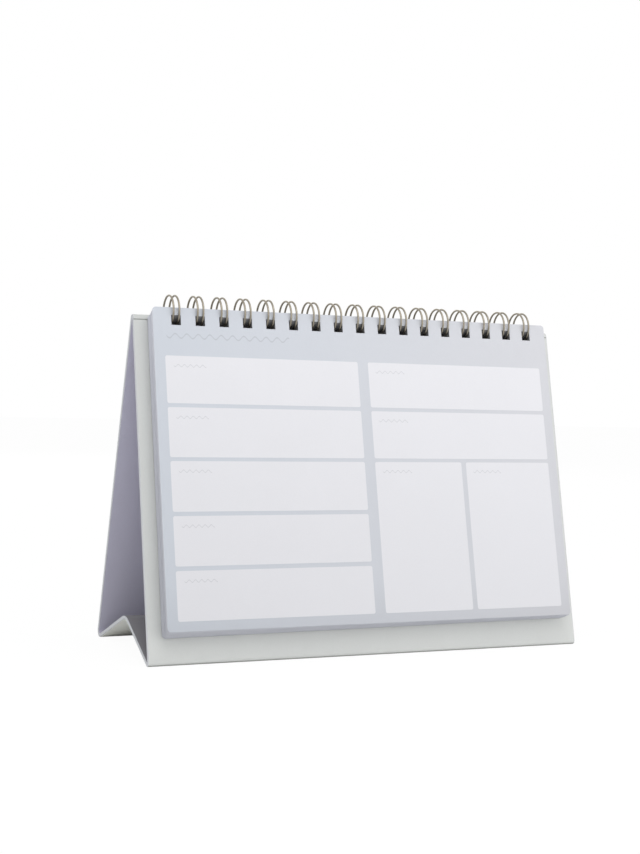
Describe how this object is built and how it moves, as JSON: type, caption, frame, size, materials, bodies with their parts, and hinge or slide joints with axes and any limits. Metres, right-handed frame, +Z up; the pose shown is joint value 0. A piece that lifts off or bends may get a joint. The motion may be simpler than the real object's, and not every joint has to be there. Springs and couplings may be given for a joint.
{
  "type": "weekly desk planner",
  "caption": "Desk planner: a wire-bound block of ruled weekly sheets that hangs on a folded card tent stand and turns over its top.",
  "frame": {"origin": "middle of the footprint on the table, at the lowest point of the part", "axes": "+Z up, +X to the reader's right along the ridge, the pages face -Y"},
  "size_m": [0.242, 0.0928, 0.1796],
  "materials": {
    "stand_card": "matt paper-covered card",
    "page_paper": "matt uncoated paper with printed fields",
    "binding_wire": "satin bronze-grey coated wire"
  },
  "bodies": {
    "stand": {"stand": "stand_card", "wire_binding": "binding_wire"},
    "pages": {"page_block": "page_paper"}
  },
  "joints": [
    {"name": "page_turn", "type": "hinge", "parent": "stand", "child": "pages", "pos_m": [0, -0.00229, 0.17099], "axis": [-1, 0, 0], "range_deg": [0, 190]}
  ]
}
